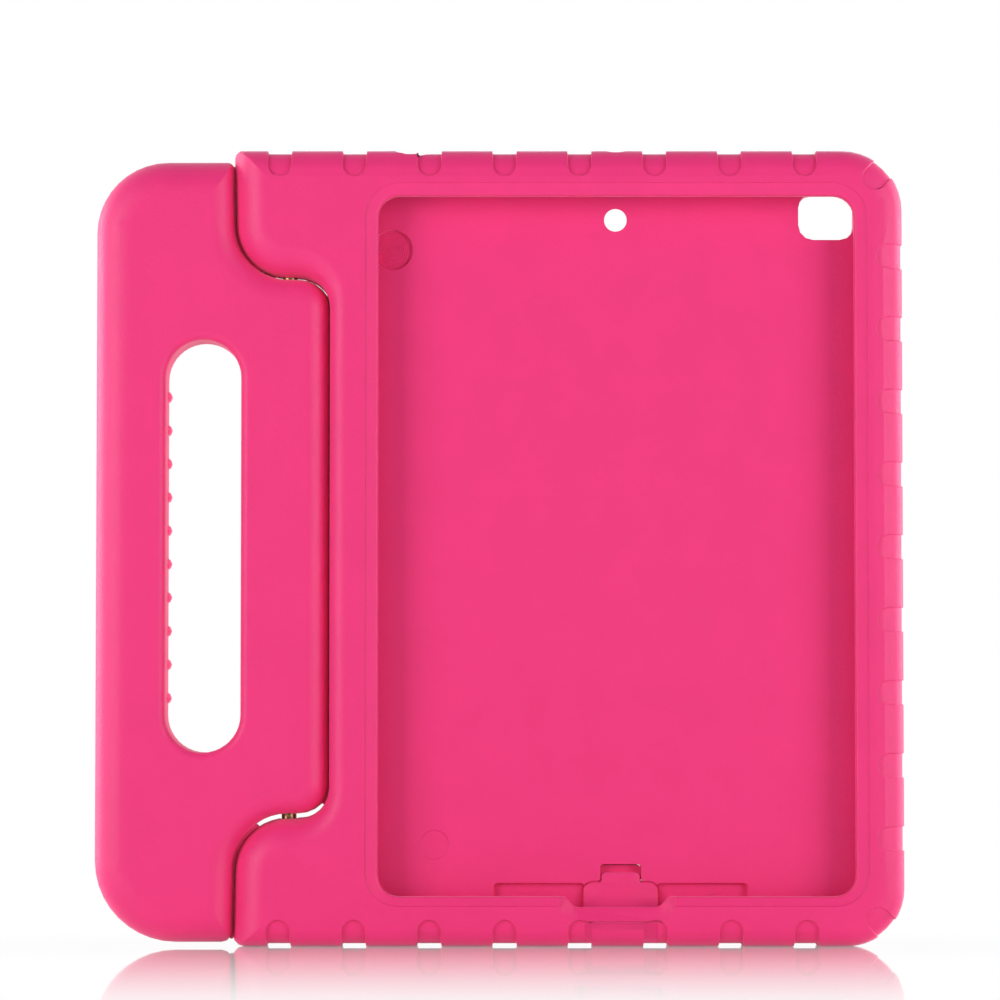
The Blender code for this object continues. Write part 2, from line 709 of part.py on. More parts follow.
def flap_cutter():
    """The way through the bottom wall and the back that the flap closes."""
    through = prism("port_way", [hat_outline(FLAP_SLIT, CUTOUT_TOP)], FRONT - OVERRUN, BACK + OVERRUN)
    front, low = FRONT - 2 * OVERRUN, -2 * OVERRUN
    back, high = BACK + 2 * OVERRUN, CUTOUT_TOP + OVERRUN
    profile = [
        (front, low), (back, low), (back, high), (LIP_BACK, high),
        (LIP_BACK, FLAP_CREASE_HEIGHT), (front, FLAP_CREASE_HEIGHT),
    ]
    half = FLAP_WIDTH
    limit = side_prism("port_way_profile", profile, FLAP_MIDDLE - half, FLAP_MIDDLE + half)
    combine(through, limit, "INTERSECT")
    return through


def pin_bores(name, radius, gap):
    """Both hinge pins, or the bores for them, along the hinge axis."""
    reach = PIN_DEPTH + gap
    made = []
    for place, low, high in HINGES:
        start, end = (HINGE_X, 0, low - reach), (HINGE_X, 0, high + reach)
        made.append(round_bar(f"{name}_{place}", radius, radius, start, end, PIN_SIDES))
    return made


def build_case(bores):
    """The tray: one foam moulding."""
    body = tray_plate("case_body", group="tablet_case")
    cutters = [cavity_cutter(), window_cutter(), dip_cutter(), flap_cutter(), knuckle_hollow()]
    cutters.append(notch_cutter("end_notches", end_notches(), END_NOTCH_DEPTH))
    cutters.append(notch_cutter("side_notches", side_notches(), SIDE_NOTCH_DEPTH))
    combine_all(body, cutters + floor_cutters() + bores, "DIFFERENCE")
    return body


def handle_corners():
    """Outline of the handle, whose knuckle sits between the tray's ears."""
    hollow = EAR_RADIUS + EAR_GAP
    inner_tip = HANDLE_INNER - EAR_LEAN
    return [
        Corner(HANDLE_LEFT, HANDLE_FOOT_LIFT, HANDLE_LOWER_RADIUS, LARGE_ARC_STEPS),
        Corner(inner_tip, HANDLE_FOOT_LIFT, HANDLE_FOOT_TIP_RADIUS, SMALL_ARC_STEPS),
        Corner(HANDLE_INNER, KNUCKLE_BOTTOM, hollow, LARGE_ARC_STEPS),
        Corner(KNUCKLE_RIGHT, KNUCKLE_BOTTOM, KNUCKLE_CORNER, MEDIUM_ARC_STEPS),
        Corner(KNUCKLE_RIGHT, KNUCKLE_TOP, KNUCKLE_CORNER, MEDIUM_ARC_STEPS),
        Corner(HANDLE_INNER, KNUCKLE_TOP, hollow, LARGE_ARC_STEPS),
        Corner(inner_tip, HANDLE_TOP, HANDLE_TOP_TIP_RADIUS, SMALL_ARC_STEPS),
        Corner(HANDLE_LEFT, HANDLE_TOP, HANDLE_UPPER_RADIUS, LARGE_ARC_STEPS),
    ]


def grip_slot():
    """The hand hole, with rounded mouths on both faces."""
    half = SLOT_LENGTH / 2
    corners = rectangle(
        SLOT_LEFT, SLOT_LEFT + SLOT_WIDTH, SLOT_MIDDLE - half, SLOT_MIDDLE + half,
        SLOT_WIDTH / 2, LARGE_ARC_STEPS,
    )
    return flared_hole("grip_slot", corners, -HANDLE_HALF, HANDLE_HALF, SLOT_EDGE_ROUND)


def rib(index):
    """A round rib across the back of the grip that turns into the slot."""
    sunk = RIB_RADIUS - RIB_HEIGHT
    back = HANDLE_HALF - sunk
    wall = SLOT_LEFT - sunk
    outer = HANDLE_LEFT + HANDLE_ROUND_ACROSS
    bend = SLOT_EDGE_ROUND
    path = [(outer - RIB_TUCK, back - RIB_TUCK), (outer, back)]
    for step in range(SMALL_ARC_STEPS + 1):
        angle = math.pi / 2 * (1 - step / SMALL_ARC_STEPS)
        path.append((wall - bend + bend * math.cos(angle), back - bend + bend * math.sin(angle)))
    path += [(wall, back - RIB_WRAP), (wall - RIB_TUCK, back - RIB_WRAP - RIB_TUCK)]
    z = SLOT_MIDDLE + (index - (RIBS - 1) / 2) * RIB_PITCH
    curve = bpy.data.curves.new(f"rib_{index}", "CURVE")
    curve.dimensions = "3D"
    curve.bevel_depth = RIB_RADIUS
    curve.bevel_resolution = RIB_BEVEL_STEPS
    curve.use_fill_caps = True
    spline = curve.splines.new("POLY")
    spline.points.add(len(path) - 1)
    for spot, (x, y) in zip(spline.points, path):
        spot.co = (x, y, z, 1)
    return curve_mesh(f"rib_{index}", curve, "cutters")


def build_handle(bores):
    """The carry handle: one foam moulding."""
    outer = (HANDLE_ROUND_ACROSS, HANDLE_ROUND_DEEP)
    gap = (HANDLE_GAP_ROUND_ACROSS, HANDLE_GAP_ROUND_DEEP)
    knuckle = (KNUCKLE_ROUND_ACROSS, KNUCKLE_ROUND_DEEP)
    roundings = [outer, gap, gap, knuckle, gap, gap, outer, outer]
    handle = rounded_plate(
        "carry_handle", handle_corners(), roundings, roundings, HANDLE_HALF, group="tablet_case"
    )
    combine_all(handle, [grip_slot()] + bores, "DIFFERENCE")
    combine_all(handle, [rib(index) for index in range(RIBS)], "UNION")
    return handle


def build_flap():
    """The port flap: the tray's own outer form inside the flap's limits."""
    flap = prism("port_flap", [hat_outline(0, TONGUE_HEIGHT)], FRONT, BACK, "tablet_case")
    half = TONGUE_WIDTH / 2
    pull = rectangle(
        FLAP_MIDDLE - half, FLAP_MIDDLE + half, FLAP_SHOULDER_HEIGHT, CUTOUT_TOP - FIT_GAP,
        TONGUE_CORNER, SMALL_ARC_STEPS,
    )
    combine(flap, prism("pull_lip", [outline(pull)], BACK - PULL_THICKNESS, BACK), "UNION")
    front, low = FRONT - OVERRUN, -2 * OVERRUN
    back, high = BACK + OVERRUN, CUTOUT_TOP + OVERRUN
    block_front = LIP_BACK + FIT_GAP
    crease = FLAP_CREASE_HEIGHT - FIT_GAP
    seat = CAVITY_BOTTOM - FIT_GAP
    profile = [
        (front, low), (back, low), (back, high), (FLOOR, high),
        (FLOOR, seat), (block_front, seat), (block_front, crease), (front, crease),
    ]
    wide = FLAP_WIDTH
    limit = side_prism("flap_profile", profile, FLAP_MIDDLE - wide, FLAP_MIDDLE + wide)
    combine(flap, limit, "INTERSECT")
    combine(flap, tray_plate("flap_form"), "INTERSECT")
    combine(flap, bpy.data.objects["end_notches"], "DIFFERENCE")
    return flap


def build_pin(place, low, high):
    """A steel hinge pin, half in the ear and half in the knuckle."""
    start, end = (HINGE_X, 0, low - PIN_DEPTH), (HINGE_X, 0, high + PIN_DEPTH)
    pin = round_bar(
        f"hinge_pin_{place}", PIN_RADIUS, PIN_RADIUS, start, end, PIN_SIDES, "tablet_case"
    )
    edge = pin.modifiers.new("end_chamfer", "BEVEL")
    edge.width = PIN_CHAMFER
    edge.segments = 1
    return pin


def clear_scene():
    """Remove what is there, and make the two collections."""
    for old in list(bpy.data.objects):
        bpy.data.objects.remove(old)
    for name in ("tablet_case", "cutters"):
        bpy.context.scene.collection.children.link(bpy.data.collections.new(name))


def main():
    clear_scene()
    bores = pin_bores("pin_bore", PIN_RADIUS + FIT_GAP, FIT_GAP)
    finish(build_case(bores), FOAM, (0, 0, 0))
    finish(build_handle(bores), FOAM, (HINGE_X, 0, CASE_HEIGHT / 2))
    finish(build_flap(), FOAM, (FLAP_MIDDLE, FRONT, FLAP_CREASE_HEIGHT - FIT_GAP / 2))
    for place, low, high in HINGES:
        finish(build_pin(place, low, high), STEEL, (HINGE_X, 0, (low + high) / 2))


main()
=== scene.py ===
"""Kids tablet case: the foam and steel finishes, the marks of the mould and the
photo stage, put round the packed solids. Lengths are in metres, +Z is up."""

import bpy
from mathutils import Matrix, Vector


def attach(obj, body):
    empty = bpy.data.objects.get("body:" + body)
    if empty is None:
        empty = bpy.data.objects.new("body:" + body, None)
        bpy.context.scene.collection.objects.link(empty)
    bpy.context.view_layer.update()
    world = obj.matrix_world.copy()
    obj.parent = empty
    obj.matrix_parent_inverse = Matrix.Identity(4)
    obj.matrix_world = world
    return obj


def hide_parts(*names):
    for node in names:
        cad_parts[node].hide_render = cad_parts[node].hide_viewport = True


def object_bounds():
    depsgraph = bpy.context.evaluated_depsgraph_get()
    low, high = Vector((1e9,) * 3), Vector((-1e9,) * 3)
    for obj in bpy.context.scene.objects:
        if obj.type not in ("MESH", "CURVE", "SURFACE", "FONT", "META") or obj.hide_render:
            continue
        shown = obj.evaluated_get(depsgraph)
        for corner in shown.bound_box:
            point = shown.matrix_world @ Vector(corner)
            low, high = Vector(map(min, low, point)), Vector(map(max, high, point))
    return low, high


bl_info = {
    "name": "Kids Tablet Case",
    "version": (1, 0, 0),
    "blender": (4, 5, 0),
    "location": "View3D > Sidebar > Tablet Case",
    "description": "Finishes, mould marks and photo stage for a foam tablet case",
    "category": "Object",
}

import math

import bmesh
import bpy
from bpy.props import FloatProperty, FloatVectorProperty, IntProperty, PointerProperty
from mathutils import Vector

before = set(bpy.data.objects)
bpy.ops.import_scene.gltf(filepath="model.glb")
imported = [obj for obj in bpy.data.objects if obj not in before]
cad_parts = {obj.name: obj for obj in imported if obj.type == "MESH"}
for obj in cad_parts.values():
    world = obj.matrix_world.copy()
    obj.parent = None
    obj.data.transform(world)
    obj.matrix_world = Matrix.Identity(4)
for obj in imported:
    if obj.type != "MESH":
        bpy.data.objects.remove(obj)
WELD_DISTANCE = 0.000002
FLAT_ANGLE = math.radians(0.6)
HARD_ANGLE = math.radians(42)
CAD_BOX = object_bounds()

# Shares of a reach at which a curved section has its points, from front to back
SHARES = tuple(k / 4 for k in range(-4, 5))

# The ears and the knuckle between them: edges, then the rounding of the knuckle
UPPER_EAR_EDGE = 0.2221
KNUCKLE_TOP = 0.2217
KNUCKLE_BOTTOM = 0.0438
KNUCKLE_FLAT = 0.0032
KNUCKLE_CORNER = 0.0108

# How far each close fit runs up its ear, and how deep it is in its moulding
UPPER_FIT_LENGTH = 0.0375
LOWER_FIT_LENGTH = 0.0400
LOWER_FIT_SPREAD = 0.0011
EAR_FIT_DEPTH = 0.00065
NOOK_FIT_DEPTH = 0.0011
UPPER_NOOK_REACH = 0.0014
UPPER_NOOK_CLEARANCE = 0.00026

# Steps and ends of the close fits, in degrees round a corner
STRAIGHT_STEPS = 8
EAR_STEP = 4
LAST_UPRIGHT_TURN = 56
LAST_UPPER_TURN = 76
NOOK_STEP = 6
FIRST_UPPER_NOOK_TURN = 12
FIRST_LOWER_NOOK_TURN = 48
LAST_NOOK_TURN = 90

# Filling of the slit round the port flap: sizes, heights over the floor, and depths
# behind the middle of the case
FLAP_SEAT = 0.0125
SHOULDER_CORNER = 0.0029
TONGUE_ROOT = 0.0006
SKIRT_TOP = 0.0240
SKIRT_INSIDE = 0.0003
SKIRT_DEPTHS = (0.0010, 0.0095)
PAD_BOTTOM = 0.0235
PAD_TOP = 0.0266
PAD_CORNER = ((0.0, 0.001), (0.00035, 0.0003), (0.0012, 0.0))
PAD_DEPTHS = (0.0032, 0.0120)

# Rounding of the rim under the flap, and the drop of the notches that the slit lies in
HALF_DEPTH = 0.0125
RIM_ACROSS = 0.0075
RIM_DEEP = 0.0065
NOTCH_DROP = 0.00102
CHEEK_STEPS = 12
CHEEK_TOP = 0.0123
CHEEK_FRONT = -0.0077
CHEEK_SIDES = (-0.0002, 0.00049)

# The web along the crease: its heights over the crease, its back, and the sides and
# front of its three parts, where None is an end of the web
WEB_LOW = 0.00003
WEB_HIGH = 0.00032
WEB_BACK = -0.0081
WEB_END = 0.0005
WEB_PARTS = (
    ("left", None, -0.00965, -0.01147),
    ("middle", -0.00965, 0.0073, -0.01247),
    ("right", 0.0073, None, -0.01147),
)

# The part of the rim near the flap whose edges stay as they are
PLAIN_SIDE = 0.002
PLAIN_RISE = 0.0047

# The turned disc: where a groove starts and ends in its share of the radius, how many
# steps it is turned in, and how far it stands out of the floor of the mark
GROOVE_START = 0.25
GROOVE_END = 0.75
DIAL_STEPS = 64
DIAL_WELD = 1e-6
DIAL_LIFT = 0.00002

# Colours of the stage, and how the floor shines
WHITE = (1.0, 1.0, 1.0)
ACRYLIC = (0.9, 0.9, 0.9)
ACRYLIC_IOR = 1.5
ACRYLIC_ROUGHNESS = 0.03

# Ramps, each from a low and a high to a start and an end: the gloss of the
# surroundings by direction, and the mirror and the white by metres from the case
GLOSS_RAMP = (-0.35, 0.25, 0.15, 1.0)
MIRROR_RAMP = (-0.02, 0.42, 1.0, 0.0)
WHITE_RAMP = (0.0, 0.1, 0.8, 1.0)

# The stage: half of the floor's width, its height, and the lamps
FLOOR_HALF = 12.0
FLOOR_HEIGHT = -0.0001
LAMP_SIZE = (0.7, 1.0)
LAMP_AIM = Vector((0.0, 0.0, 0.13))
LAMPS = (
    ("left_box", (-1.1, -0.9, 0.35), "lamp_power"),
    ("right_box", (1.1, -0.9, 0.25), "lamp_power"),
    ("left_rim_box", (-1.2, 0.45, 0.25), "rim_power"),
    ("right_rim_box", (1.2, 0.45, 0.25), "rim_power"),
)


class Sock:
    """A number given by a node, for sums written as expressions."""

    def __init__(self, nodes, socket):
        self.nodes = nodes
        self.socket = socket

    def maths(self, operation, first, second=0.0):
        return self.nodes.node(
            "ShaderNodeMath", "Value", {"operation": operation}, {0: first, 1: second}
        )

    def __add__(self, other):
        return self.maths("ADD", self, other)

    __radd__ = __add__

    def __sub__(self, other):
        return self.maths("SUBTRACT", self, other)

    def __rsub__(self, other):
        return self.maths("SUBTRACT", other, self)

    def __mul__(self, other):
        return self.maths("MULTIPLY", self, other)

    __rmul__ = __mul__

    def at_least(self, other):
        return self.maths("MAXIMUM", self, other)

    def power(self, exponent):
        return self.maths("POWER", self, exponent)


class Nodes:
    """A node tree that is built from expressions."""

    def __init__(self, tree):
        self.tree = tree

    def node(self, kind, output, settings=None, inputs=None):
        """Add a node, apply its settings, then feed its sockets."""
        made = self.tree.nodes.new(kind)
        for key, value in (settings or {}).items():
            setattr(made, key, value)
        for key, value in (inputs or {}).items():
            self.feed(self.socket_of(made.inputs, key), value)
        return Sock(self, self.socket_of(made.outputs, output))

    def socket_of(self, sockets, key):
        if isinstance(key, int):
            return sockets[key]
        return next(socket for socket in sockets if key in (socket.identifier, socket.name))

    def feed(self, socket, value):
        """Link a socket to a node's output, or set it to a constant."""
        if isinstance(value, Sock):
            self.tree.links.new(value.socket, socket)
        else:
            socket.default_value = value

    def ramp(self, value, low, high, start=0.0, end=1.0):
        """Carry a number from one range to another, smoothly, and stay inside it."""
        return self.node(
            "ShaderNodeMapRange", "Result", {"interpolation_type": "SMOOTHSTEP"},
            {"Value": value, "From Min": low, "From Max": high, "To Min": start, "To Max": end},
        )


class Finish(Nodes):
    """A material whose nodes are built from expressions."""

    def __init__(self, name):
        self.material = bpy.data.materials.new(name)
        self.material.use_nodes = True
        super().__init__(self.material.node_tree)
        self.shader = self.tree.nodes["Principled BSDF"]

    def set(self, **values):
        """Set the surface shader's own sockets, with _ for a space."""
        for key, value in values.items():
            self.feed(self.shader.inputs[key.replace("_", " ")], value)

    def place(self):
        """Place on the piece, in metres, which stays with it in every pose."""
        return self.node("ShaderNodeTexCoord", "Object")

    def noise(self, size, at=None):
        """Noise whose features are about as large as a size in metres."""
        return self.node(
            "ShaderNodeTexNoise", "Fac", {"noise_dimensions": "3D"},
            {"Vector": at or self.place(), "Scale": 1 / size, "Detail": 3.0},
        )

    def cells(self, size):
        """Cell pattern whose cells are about as large as a size in metres."""
        return self.node(
            "ShaderNodeTexVoronoi", "Distance", {}, {"Vector": self.place(), "Scale": 1 / size},
        )

    def mix(self, mask, first, second):
        """Mix two colours by a mask."""
        return self.node(
            "ShaderNodeMix", "Result_Color", {"data_type": "RGBA", "blend_type": "MIX"},
            {"Factor_Float": mask, "A_Color": first, "B_Color": second},
        )

    def bump(self, height, distance, strength=1.0):
        """Bumps of a height in metres, fed to the shader's normal."""
        normal = self.node(
            "ShaderNodeBump", "Normal", {},
            {"Height": height, "Distance": distance, "Strength": strength},
        )
        self.set(Normal=normal)


def solid(colour):
    return (*colour, 1.0)


def shaded(colour, share):
    """A colour made lighter or darker by a share."""
    return tuple(min(1.0, channel * share) for channel in colour) + (1.0,)


def foam_finish(name, foam):
    """Moulded foam: a fine leathery skin over faint large mottling, with pits."""
    finish = Finish(name)
    skin = finish.noise(foam.grain_size)
    beads = finish.cells(foam.bead_size)
    mottle = finish.noise(foam.mottle_size)
    shade = finish.ramp(mottle, 0.35, 0.65)
    colour = finish.mix(shade, shaded(foam.colour, 0.985), shaded(foam.colour, 1.015))
    fleck = finish.ramp(skin, 0.62, 0.8)
    colour = finish.mix(fleck * 0.35, colour, solid(foam.fleck_colour))
    finish.set(
        Base_Color=colour,
        Roughness=finish.ramp(skin, 0.3, 0.7, foam.roughness - 0.06, foam.roughness + 0.06),
        IOR=1.48, Sheen_Weight=0.3, Sheen_Roughness=0.45, Sheen_Tint=solid((1.0, 0.75, 0.9)),
    )
    finish.bump(skin + beads * 0.6, foam.grain_depth, 1.0)
    return finish.material


def steel_finish(name, pins):
    """Drawn steel wire, darkened, with fine lines along it."""
    finish = Finish(name)
    along = finish.node(
        "ShaderNodeMapping", "Vector", {},
        {"Vector": finish.place(), "Scale": (1.0, 1.0, 0.08)},
    )
    lines = finish.noise(pins.line_size, at=along)
    stain = finish.noise(0.0015)
    colour = finish.mix(
        finish.ramp(stain, 0.45, 0.65), solid(pins.colour), solid(pins.stain_colour)
    )
    finish.set(
        Base_Color=colour, Metallic=1.0,
        Roughness=finish.ramp(lines, 0.3, 0.7, pins.roughness - 0.1, pins.roughness + 0.1),
    )
    finish.bump(lines, 0.00004, 0.6)
    return finish.material


def by_crease(spot):
    """True in the rim at the port flap, where the foam runs on unbroken."""
    slit = bpy.context.scene.tablet_slit
    aside = abs(spot.x - slit.middle) < slit.half + PLAIN_SIDE
    return aside and spot.z < slit.crease + PLAIN_RISE


def soft_copy(node, width, flatten):
    """Copy a packed solid, with its hard edges rounded and its faces smooth or flat."""
    shape = bmesh.new()
    shape.from_mesh(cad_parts[node].data)
    bmesh.ops.remove_doubles(shape, verts=shape.verts, dist=WELD_DISTANCE)
    bmesh.ops.dissolve_limit(
        shape, angle_limit=FLAT_ANGLE, verts=shape.verts, edges=shape.edges,
    )
    hard = [
        edge for edge in shape.edges
        if edge.calc_face_angle(0.0) > HARD_ANGLE
        and not all(by_crease(corner.co) for corner in edge.verts)
    ]
    bmesh.ops.bevel(
        shape, geom=hard, offset=width, offset_type="OFFSET", segments=2, profile=0.5,
        affect="EDGES", clamp_overlap=False,
    )
    mesh = bpy.data.meshes.new(f"{node}_skin")
    shape.to_mesh(mesh)
    shape.free()
    mesh.shade_smooth()
    mesh.set_sharp_from_angle(angle=HARD_ANGLE)
    piece = bpy.data.objects.new(f"{node}_skin", mesh)
    bpy.context.scene.collection.objects.link(piece)
    if flatten:
        flat = piece.modifiers.new("flat_faces", "WEIGHTED_NORMAL")
        flat.weight = 80
        flat.keep_sharp = True
    return piece


def swept(name, sections, body):
    """A foam piece through closed sections with as many points each."""
    shape = bmesh.new()
    rings = [[shape.verts.new(point) for point in section] for section in sections]
    for one, two in zip(rings, rings[1:]):
        for k in range(len(one)):
            n = (k + 1) % len(one)
            shape.faces.new((one[k], one[n], two[n], two[k]))
    shape.faces.new(rings[0][::-1])
    shape.faces.new(rings[-1])
    bmesh.ops.recalc_face_normals(shape, faces=shape.faces)
    mesh = bpy.data.meshes.new(name)
    shape.to_mesh(mesh)
    shape.free()
    mesh.shade_smooth()
    mesh.set_sharp_from_angle(angle=HARD_ANGLE)
    piece = bpy.data.objects.new(name, mesh)
    bpy.context.scene.collection.objects.link(piece)
    piece.data.materials.append(bpy.data.materials["foam_skin"])
    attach(piece, body)
    return piece


def dress(node, material):
    """Put a finish on a packed solid."""
    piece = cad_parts[node]
    piece.data.materials.clear()
    piece.data.materials.append(material)
    return piece


class FoamSettings(bpy.types.PropertyGroup):
    """The moulded foam."""

    colour: FloatVectorProperty(
        name="Colour", description="Colour of the foam", subtype="COLOR", size=3,
        min=0.0, max=1.0, default=(0.86, 0.026, 0.195),
    )
    fleck_colour: FloatVectorProperty(
        name="Fleck colour", description="Colour of the pale flecks in the skin",
        subtype="COLOR", size=3, min=0.0, max=1.0, default=(0.93, 0.06, 0.26),
    )
    grain_size: FloatProperty(
        name="Grain size", description="Size of the grain of the skin",
        subtype="DISTANCE", unit="LENGTH", precision=5, default=0.0007,
    )
    bead_size: FloatProperty(
        name="Bead size", description="Size of the beads under the skin",
        subtype="DISTANCE", unit="LENGTH", precision=5, default=0.0012,
    )
    mottle_size: FloatProperty(
        name="Mottle size", description="Size of the faint lighter and darker areas",
        subtype="DISTANCE", unit="LENGTH", precision=4, default=0.018,
    )
    grain_depth: FloatProperty(
        name="Grain depth", description="Height of the grain",
        subtype="DISTANCE", unit="LENGTH", precision=6, default=0.00005,
    )
    roughness: FloatProperty(
        name="Roughness", description="How matte the foam is",
        subtype="FACTOR", min=0.0, max=1.0, default=0.52,
    )
    edge: FloatProperty(
        name="Edge", description="Rounding of the hard edges",
        subtype="DISTANCE", unit="LENGTH", precision=5, default=0.00025,
    )


class PinSettings(bpy.types.PropertyGroup):
    """The hinge pins."""

    colour: FloatVectorProperty(
        name="Colour", description="Colour of the steel", subtype="COLOR", size=3,
        min=0.0, max=1.0, default=(0.34, 0.22, 0.11),
    )
    stain_colour: FloatVectorProperty(
        name="Stain colour", description="Colour of the dark stains on the steel",
        subtype="COLOR", size=3, min=0.0, max=1.0, default=(0.08, 0.05, 0.03),
    )
    line_size: FloatProperty(
        name="Line size", description="Width of the drawing lines along the wire",
        subtype="DISTANCE", unit="LENGTH", precision=5, default=0.0002,
    )
    roughness: FloatProperty(
        name="Roughness", description="How dull the steel is",
        subtype="FACTOR", min=0.0, max=1.0, default=0.35,
    )


class DialSettings(bpy.types.PropertyGroup):
    """The turned disc in the round mould mark."""

    x: FloatProperty(
        name="X", description="Middle of the mark, from left to right",
        subtype="DISTANCE", unit="LENGTH", precision=5, default=-0.03555,
    )
    z: FloatProperty(
        name="Z", description="Middle of the mark, from the bottom up",
        subtype="DISTANCE", unit="LENGTH", precision=5, default=0.232,
    )
    floor: FloatProperty(
        name="Floor", description="Depth at which the recess of the mark ends",
        subtype="DISTANCE", unit="LENGTH", precision=5, default=0.001,
    )
    radius: FloatProperty(
        name="Radius", description="Radius of the turned disc",
        subtype="DISTANCE", unit="LENGTH", precision=5, default=0.0062,
    )
    grooves: IntProperty(
        name="Grooves", description="Number of turned grooves", min=1, default=9,
    )
    groove_depth: FloatProperty(
        name="Groove depth", description="Depth of a turned groove",
        subtype="DISTANCE", unit="LENGTH", precision=5, default=0.00018,
    )


class GapSettings(bpy.types.PropertyGroup):
    """The close fit of the handle round the ears."""

    hinge: FloatProperty(
        name="Hinge", description="Place of the hinge line, from left to right",
        subtype="DISTANCE", unit="LENGTH", precision=5, default=-0.06975,
    )
    radius: FloatProperty(
        name="Ear radius", description="Rounding of the inner corner of an ear",
        subtype="DISTANCE", unit="LENGTH", precision=5, default=0.0178,
    )
    lean: FloatProperty(
        name="Ear lean", description="How far the side of an ear leans out over its height",
        subtype="DISTANCE", unit="LENGTH", precision=5, default=0.0008,
    )
    height: FloatProperty(
        name="Ear height", description="Height of an ear",
        subtype="DISTANCE", unit="LENGTH", precision=5, default=0.0424,
    )
    clearance: FloatProperty(
        name="Clearance", description="Room left between the handle and an ear",
        subtype="DISTANCE", unit="LENGTH", precision=5, default=0.00016,
    )
    reach: FloatProperty(
        name="Reach", description="How far the close fit goes to the front and the back",
        subtype="DISTANCE", unit="LENGTH", precision=5, default=0.0032,
    )


class SlitSettings(bpy.types.PropertyGroup):
    """The slit round the port flap."""

    middle: FloatProperty(
        name="Middle", description="Middle of the flap, from left to right",
        subtype="DISTANCE", unit="LENGTH", precision=5, default=0.04055,
    )
    half: FloatProperty(
        name="Half width", description="Half of the width of the flap",
        subtype="DISTANCE", unit="LENGTH", precision=5, default=0.0123,
    )
    shoulder: FloatProperty(
        name="Shoulder", description="Height of the flap's shoulders",
        subtype="DISTANCE", unit="LENGTH", precision=5, default=0.0208,
    )
    tongue: FloatProperty(
        name="Half tongue", description="Half of the width of the flap's tongue",
        subtype="DISTANCE", unit="LENGTH", precision=5, default=0.0063,
    )
    skirt: FloatProperty(
        name="Skirt", description="How far the thin skirt fills the slit",
        subtype="DISTANCE", unit="LENGTH", precision=5, default=0.00044,
    )
    crease: FloatProperty(
        name="Crease", description="Height of the crease that the flap turns on",
        subtype="DISTANCE", unit="LENGTH", precision=5, default=0.0080,
    )


class StageSettings(bpy.types.PropertyGroup):
    """The camera, the lamps and the floor."""

    distance: FloatProperty(
        name="Camera distance", description="From the lens to the front of the case",
        subtype="DISTANCE", unit="LENGTH", default=1.54,
    )
    lens_height: FloatProperty(
        name="Lens height", description="Height of the lens above the floor",
        subtype="DISTANCE", unit="LENGTH", precision=4, default=0.0723,
    )
    lens_side: FloatProperty(
        name="Lens side", description="How far the lens stands to the right",
        subtype="DISTANCE", unit="LENGTH", precision=5, default=0.00042,
    )
    aim_height: FloatProperty(
        name="Aim height", description="Height in the middle of the picture",
        subtype="DISTANCE", unit="LENGTH", precision=4, default=0.1476,
    )
    field: FloatProperty(
        name="Field", description="Width that the picture shows at the case",
        subtype="DISTANCE", unit="LENGTH", precision=4, default=0.3308,
    )
    lamp_power: FloatProperty(
        name="Lamp power", description="Power of each of the two soft boxes",
        unit="POWER", default=12.4,
    )
    rim_power: FloatProperty(
        name="Rim lamp power", description="Power of each of the two soft boxes at the back",
        unit="POWER", default=14.0,
    )
    ambient: FloatProperty(
        name="Ambient light", description="Strength of the light from all round",
        default=0.22,
    )


class TABLETCASE_OT_foam(bpy.types.Operator):
    """Give the tray, the handle and the port flap their foam skin"""

    bl_idname = "tablet_case.foam"
    bl_label = "Foam pieces"

    def execute(self, context):
        foam = context.scene.tablet_foam
        skin = foam_finish("foam_skin", foam)
        pieces = (("case_body", "case"), ("carry_handle", "handle"), ("port_flap", "flap"))
        for node, body in pieces:
            piece = soft_copy(node, foam.edge, flatten=body != "flap")
            piece.data.materials.append(skin)
            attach(piece, body)
            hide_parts(node)
        return {"FINISHED"}


def ear_section(gap, across, height, out, rise):
    """Section of the close fit: hollow towards the ear, flat inside the handle."""
    steps = [gap.reach * share for share in SHARES]
    hollow = [(gap.hinge - math.sqrt(across * across - y * y), y, height) for y in steps]
    inside = gap.hinge - across - out
    return hollow + [(inside, gap.reach, height + rise), (inside, -gap.reach, height + rise)]


def under_section(gap, across, lean, edge, sign):
    """Section of the close fit where it has come nearly level, at the ear's edge."""
    near, reach, place = gap.radius + gap.clearance, gap.reach / 2, gap.hinge - across
    rows = []
    for share in SHARES:
        turned = math.hypot(across, reach * share) - lean
        height = edge + sign * (gap.radius - math.sqrt(near * near - turned * turned))
        rows.append((place, reach * share, height))
    low = edge - sign * (gap.clearance + EAR_FIT_DEPTH)
    return rows + [(place, reach, low), (place, -reach, low)]


def ear_fit(gap, edge, sign, length, last_turn, spread):
    """Sections from the tip of an ear round its corner, as far as an angle."""
    near = gap.radius + gap.clearance
    sections = []
    for k in range(STRAIGHT_STEPS + 1):
        up = length + (gap.radius - length) * k / STRAIGHT_STEPS
        lean = gap.lean * up / gap.height
        sections.append(ear_section(gap, near + lean, edge + sign * up, EAR_FIT_DEPTH, 0.0))
    lean = gap.lean * gap.radius / gap.height
    for degrees in range(EAR_STEP, last_turn + 1, EAR_STEP):
        turn = math.radians(degrees)
        across = lean + near * math.cos(turn)
        if degrees > LAST_UPRIGHT_TURN:
            sections.append(under_section(gap, across, lean, edge, sign))
            continue
        out = EAR_FIT_DEPTH + spread * math.sin(turn)
        sections.append(ear_section(
            gap, across, edge + sign * (gap.radius - near * math.sin(turn)),
            out * math.cos(turn), -sign * out * math.sin(turn),
        ))
    return sections


